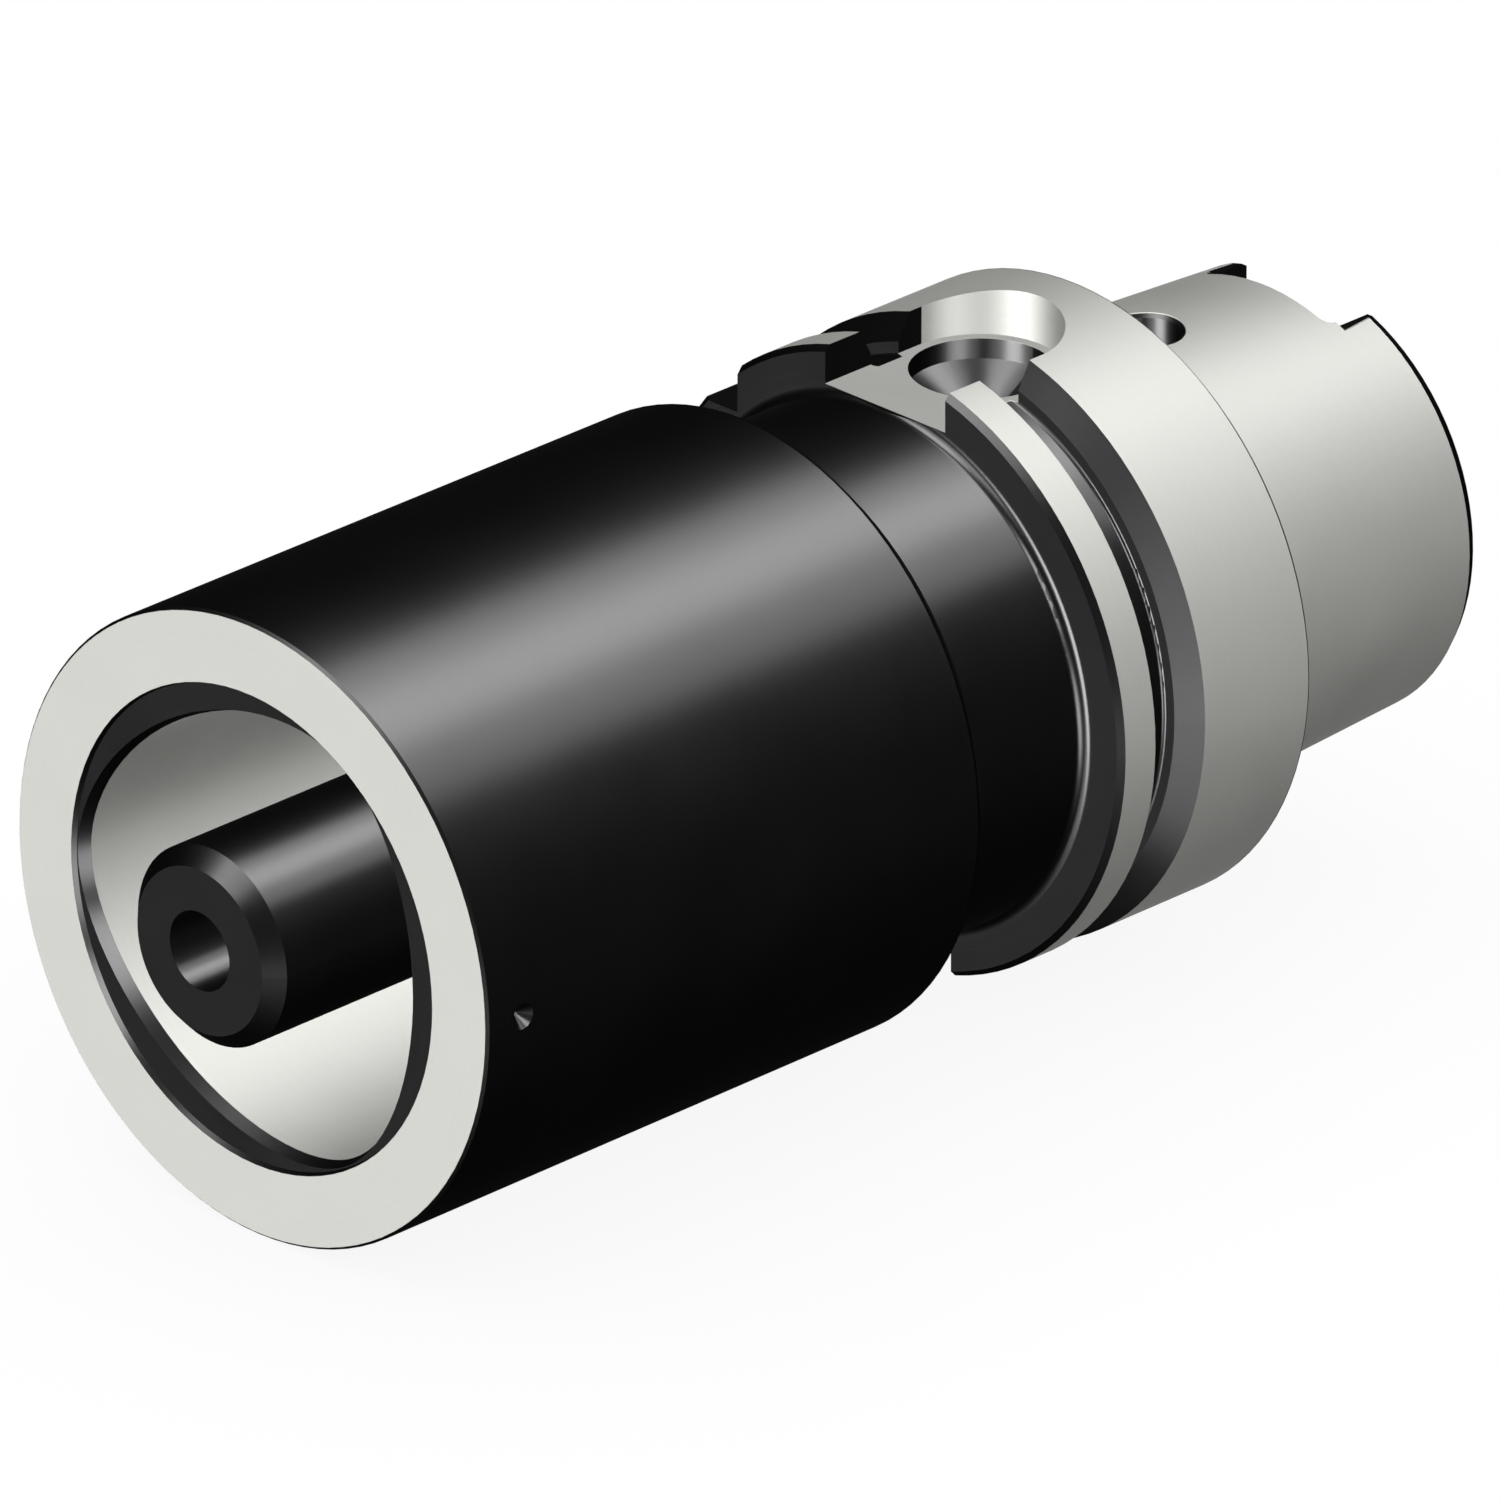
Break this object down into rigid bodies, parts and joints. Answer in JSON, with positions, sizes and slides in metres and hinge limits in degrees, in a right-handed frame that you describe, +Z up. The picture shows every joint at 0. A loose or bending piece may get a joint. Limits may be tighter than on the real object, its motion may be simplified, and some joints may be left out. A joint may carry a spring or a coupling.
{
  "type": "tool holder adapter",
  "caption": "Round steel tool holder adapter: hollow taper shank with grooved flange at one end, three-lobed taper socket with a centre bolt at the other.",
  "frame": {"origin": "tool axis in the plane of the gauge face (the flange's rear face, where the shank starts)", "axes": "+Y along the tool axis from the tool side to the shank's end, +Z up through the middle of the shallower keyway, +X to the side with the drilled mark"},
  "size_m": [0.063, 0.1486, 0.063],
  "materials": {
    "black_oxide_steel": "black oxide over hardened steel, with the ground faces left bright",
    "bolt_black_steel": "black oxide, satin",
    "ground_steel": "ground",
    "plain_steel": "turned, bright",
    "black_rubber": "matt"
  },
  "bodies": {
    "holder": {"adapter_body": "black_oxide_steel", "bolt_thrust_washer": "ground_steel", "bolt_ring_nut": "bolt_black_steel", "coolant_tube": "plain_steel", "coolant_tube_nut": "plain_steel", "tube_front_seal": "black_rubber", "tube_rear_seal": "black_rubber"},
    "bolt": {"centre_bolt": "bolt_black_steel", "bolt_seal": "black_rubber"}
  },
  "joints": [
    {"name": "bolt_turn", "type": "hinge", "parent": "holder", "child": "bolt", "pos_m": [0, -0.055, 0], "axis": [0, 1, 0], "continuous": true}
  ]
}
